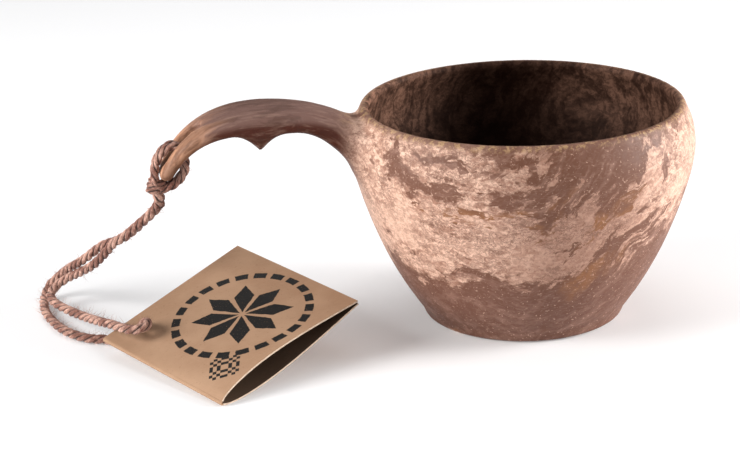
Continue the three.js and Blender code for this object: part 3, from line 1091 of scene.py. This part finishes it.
def makeTwineMaterial(values):
    material, tree, shader = newMaterial("twistedTwine")
    uv = tree.add("UVMap", uv_map="strand").outputs[0]
    spot = tree.add("TexCoord").outputs["Object"]
    depth = tree.add("Attribute", attribute_name="depth").outputs["Fac"]
    parts = tree.add("SeparateXYZ", {0: uv}).outputs
    slant = tree.plus(tree.times(parts["Y"], 9.0), tree.times(parts["X"], 1.1))
    lined = tree.add("CombineXYZ", {0: slant, 1: tree.times(parts["X"], 0.3)}).outputs[0]
    fibre = tree.noise(lined, 2.6, 4, 0.7).outputs["Fac"]
    patches = tree.noise(spot, 190.0, 3, 0.6).outputs["Fac"]
    color = tree.mix(tree.span(patches, 0.42, 0.60), values["rose"], values["pale"])
    color = tree.mix(tree.span(fibre, 0.52, 0.40, 0.0, 0.85), color, values["dark"])
    color = tree.mix(tree.span(fibre, 0.54, 0.66, 0.0, 0.75), color, values["pale"])
    # painted shade in the grooves between the plies, darkest nearest the twine's centre line
    color = tree.mix(tree.span(depth, 0.93, 0.68, 0.0, 0.96), color, values["grooveShade"])
    tree.feed(shader.inputs["Base Color"], color)
    tree.feed(shader.inputs["Normal"], bumpNormal(tree, fibre, 0.9, 0.0002))
    shader.inputs["Roughness"].default_value = 0.85
    shader.inputs["Sheen Weight"].default_value = 0.15
    shader.inputs["Sheen Roughness"].default_value = 0.5
    return material


cardColors = {
    "kraft": (0.35, 0.205, 0.122),
    "kraftPale": (0.41, 0.252, 0.156),
    "kraftDark": (0.24, 0.132, 0.072),
    "edge": (0.72, 0.58, 0.46),
    "ink": (0.0065, 0.0055, 0.005),
}
# print layout in shares of the leaf's side
rosette = {
    "middle": (0.55, 0.55),
    "size": 0.30,
    "dashRing": 0.375,
    "dashHalf": 0.026,
    "dashes": 22,
    "patch": (0.84, 0.17),
    "patchHalf": 0.085,
}


# A plain folk star in a ring of dashes, and a small woven diamond in the corner.
def printMask(tree, uv, values):
    brush = tree.noise(uv, 26.0, 4, 0.7).outputs["Color"]
    stray = tree.vector("SUBTRACT", brush, (0.5, 0.5, 0.5))
    shaken = tree.vector("ADD", uv, tree.vector("SCALE", stray, 0.014))
    fromMiddle = tree.vector("SUBTRACT", shaken, (*values["middle"], 0))
    radius = tree.vector("LENGTH", tree.vector("MULTIPLY", fromMiddle, (1, 1, 0)))
    parts = tree.add("SeparateXYZ", {0: fromMiddle}).outputs
    angle = tree.math("ARCTAN2", parts["Y"], parts["X"])
    # eight petals, each a pointed diamond
    sector = math.pi / 4
    folded = tree.math("PINGPONG", angle, sector / 2)
    away = tree.times(radius, tree.math("SINE", folded))
    outward = tree.times(radius, tree.math("COSINE", folded))
    reach = tree.math("DIVIDE", outward, values["size"])
    halfWidth = tree.math("MINIMUM", tree.times(reach, 0.36),
                          tree.times(tree.minus(1.0, reach), 0.52))
    petal = tree.minus(tree.times(halfWidth, values["size"]), away)
    star = tree.span(petal, 0.005, 0.008)
    # ring of short brush dashes
    turns = tree.times(angle, values["dashes"] / (2 * math.pi))
    fromDash = tree.math("ABSOLUTE", tree.minus(tree.math("FRACT", turns), 0.5))
    dash = tree.span(fromDash, 0.36, 0.33)
    band = tree.span(tree.math("ABSOLUTE", tree.minus(radius, values["dashRing"])),
                     values["dashHalf"], values["dashHalf"] - 0.004)
    ring = tree.times(dash, band)
    # woven diamond
    fromPatch = tree.vector("SUBTRACT", uv, (*values["patch"], 0))
    cell = tree.add("SeparateXYZ", {0: tree.add("VectorRotate", {"Vector": fromPatch, "Angle": math.pi / 4},
                                                rotation_type="Z_AXIS").outputs[0]}).outputs
    across = tree.math("ABSOLUTE", cell["X"])
    down = tree.math("ABSOLUTE", cell["Y"])
    patch = tree.times(tree.span(across, values["patchHalf"], values["patchHalf"] - 0.003),
                       tree.span(down, values["patchHalf"], values["patchHalf"] - 0.003))
    checkSpot = tree.add("CombineXYZ", {0: across, 1: down, 2: 0.003}).outputs[0]
    checks = tree.add("TexChecker", {"Vector": checkSpot, "Scale": 1 / (values["patchHalf"] / 4),
                                     "Color1": (1, 1, 1), "Color2": (0, 0, 0)}).outputs["Fac"]
    patch = tree.times(patch, checks)
    mask = tree.math("MAXIMUM", tree.math("MAXIMUM", star, ring), patch)
    dry = tree.span(tree.noise(uv, 150.0, 3, 0.7).outputs["Fac"], 0.30, 0.36)
    return tree.times(mask, dry)


def makeCard(name, values, printed=False, edge=False, shade=0.0):
    material, tree, shader = newMaterial(name)
    spot = tree.add("TexCoord").outputs["Object"]
    specks = useGroup(tree, speckleGroup, {"Vector": spot, "Speck Scale": 1500.0, "Coverage": 0.35})
    tone = tree.noise(spot, 60.0, 3, 0.6).outputs["Fac"]
    color = tree.mix(tree.span(tone, 0.35, 0.68), values["kraft"], values["kraftPale"])
    color = tree.mix(tree.times(specks["Fibres"], 0.28), color, values["kraftPale"])
    color = tree.mix(tree.times(specks["Specks"], 0.4), color, values["kraftDark"])
    if edge:
        layers = tree.noise(tree.stretch(spot, (1, 1, 6)), 900.0, 2).outputs["Fac"]
        color = tree.mix(tree.span(layers, 0.35, 0.65, 0.35, 0.9), color, values["edge"])
    # painted shade: the card is mixed toward the ink's near-black by the given share
    color = tree.mix(shade, color, values["ink"])
    roughness = tree.span(tone, 0.3, 0.7, 0.74, 0.84)
    height = specks["Fibres"]
    if printed:
        uv = tree.add("UVMap", uv_map="UVMap").outputs[0]
        ink = printMask(tree, uv, rosette)
        color = tree.mix(ink, color, values["ink"])
        roughness = tree.minus(roughness, tree.times(ink, 0.22))
    tree.feed(shader.inputs["Base Color"], color)
    tree.feed(shader.inputs["Roughness"], roughness)
    tree.feed(shader.inputs["Normal"], bumpNormal(tree, height, 0.4, 0.00005))
    shader.inputs["Specular IOR Level"].default_value = 0.3
    return material


def dress(obj, materials):
    obj.data.materials.clear()
    for material in materials:
        obj.data.materials.append(material)


dress(cupPiece, [makeComposite(composite, marbling)])
twineMaterial = makeTwineMaterial(twineColors)
for piece in twinePieces:
    dress(piece, [twineMaterial])
printedCard = makeCard("kraftPrinted", cardColors, printed=True)
plainCard = makeCard("kraftPlain", cardColors)
# painted shade on the leaves' inner faces, in the gap between them
shadedInnerCard = makeCard("kraftInsideShade", cardColors, shade=0.72)
cardEdge = makeCard("kraftCutEdge", cardColors, edge=True)


# The outer face, the inner face and the cut edges each take their own finish; the inner faces are darkened
# with painted shade.
def dressLeaf(leaf, outside):
    indices = [min(p.material_index, 2) for p in leaf.data.polygons]
    dress(leaf, [outside, shadedInnerCard, cardEdge])
    for polygon, index in zip(leaf.data.polygons, indices):
        polygon.material_index = index


dressLeaf(frontLeaf, printedCard)
dressLeaf(backLeaf, plainCard)
dress(foldPiece, [plainCard])
print("finishes made")


# floor
def addFloor(values):
    bpy.ops.object.select_all(action="DESELECT")
    bpy.ops.mesh.primitive_plane_add(size=values["floorSize"])
    floor = bpy.context.object
    floor.name = "studio_floor"
    material, tree, shader = newMaterial("paleFloor")
    shader.inputs["Base Color"].default_value = (*values["floorColor"], 1)
    shader.inputs["Roughness"].default_value = 0.7
    shader.inputs["Emission Color"].default_value = (1, 1, 1, 1)
    shader.inputs["Emission Strength"].default_value = values["floorGlow"]
    floor.data.materials.append(material)


addFloor(studio)
